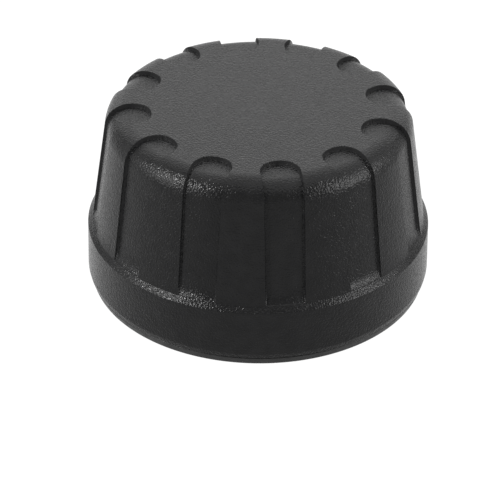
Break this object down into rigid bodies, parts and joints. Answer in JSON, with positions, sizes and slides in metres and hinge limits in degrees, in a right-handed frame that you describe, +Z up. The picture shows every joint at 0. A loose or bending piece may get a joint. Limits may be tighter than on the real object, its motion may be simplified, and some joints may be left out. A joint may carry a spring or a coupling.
{
  "type": "tyre pressure sensor",
  "caption": "Round valve-cap tyre pressure sensor: a ribbed black screw cap over a threaded base that holds a coin cell, a circuit board and a brass valve socket.",
  "frame": {"origin": "centre of the base's underside, on the sensor's axis", "axes": "+Z up along the axis, from the valve socket to the top of the cap; +X towards the cell's side contact"},
  "size_m": [0.025, 0.025, 0.0139],
  "materials": {
    "cap_plastic": "fine spark-eroded grain, black",
    "base_plastic": "smooth moulded, black",
    "seal_rubber": "lightly greased, black",
    "pad_foam": "closed-cell foam, dark grey",
    "insert_brass": "machined",
    "gasket_silicone": "smooth, off-white",
    "board_laminate": "green solder mask",
    "chip_resin": "moulded resin, black",
    "part_ceramic": "fired ceramic, tan",
    "contact_nickel": "nickel plated",
    "screw_steel": "zinc plated",
    "cell_steel": "nickel-plated steel, fine turned lines",
    "cell_insulator": "moulded, off-white",
    "lithium_metal": "dull metal foil",
    "separator_paper": "non-woven, white",
    "cathode_powder": "pressed powder, near black"
  },
  "bodies": {
    "base": {"base_housing": "base_plastic", "valve_insert": "insert_brass", "valve_gasket": "gasket_silicone", "core_depressor": "insert_brass", "port_seal": "gasket_silicone", "sensor_chip": "chip_resin", "circuit_board": "board_laminate", "crystal": "contact_nickel", "matching_inductor": "part_ceramic", "capacitor_1": "part_ceramic", "capacitor_2": "part_ceramic", "capacitor_3": "part_ceramic", "capacitor_4": "part_ceramic", "board_screw_1": "screw_steel", "board_screw_2": "screw_steel", "board_screw_3": "screw_steel", "antenna_loop": "insert_brass", "negative_contact": "contact_nickel", "positive_clip": "contact_nickel", "cell_holder": "base_plastic"},
    "seal": {"cap_o_ring": "seal_rubber"},
    "cap": {"outer_cap": "cap_plastic", "battery_pad": "pad_foam"},
    "cell": {"cell_can": "cell_steel", "cell_gasket": "cell_insulator", "cell_lid": "cell_steel", "lithium_anode": "lithium_metal", "cell_separator": "separator_paper", "cathode_pellet": "cathode_powder"}
  },
  "joints": [
    {"name": "cap_turn", "type": "hinge", "parent": "base", "child": "seal", "pos_m": [0, 0, 0], "axis": [0, 0, 1], "range_deg": [0, 3240]},
    {"name": "cap_lift", "type": "slide", "parent": "seal", "child": "cap", "axis": [0, 0, 1], "range_m": [0, 0.0135]},
    {"name": "cell_rise", "type": "slide", "parent": "base", "child": "cell", "axis": [0, 0, 1], "range_m": [0, 0.0006], "deforming": ["negative_contact"]}
  ],
  "couplings": [
    {"joint": "cap_lift", "follows": "cap_turn", "m_per_rad": 0.00023873},
    {"joint": "cell_rise", "follows": "cap_turn", "m_per_rad": 0.00001061}
  ]
}
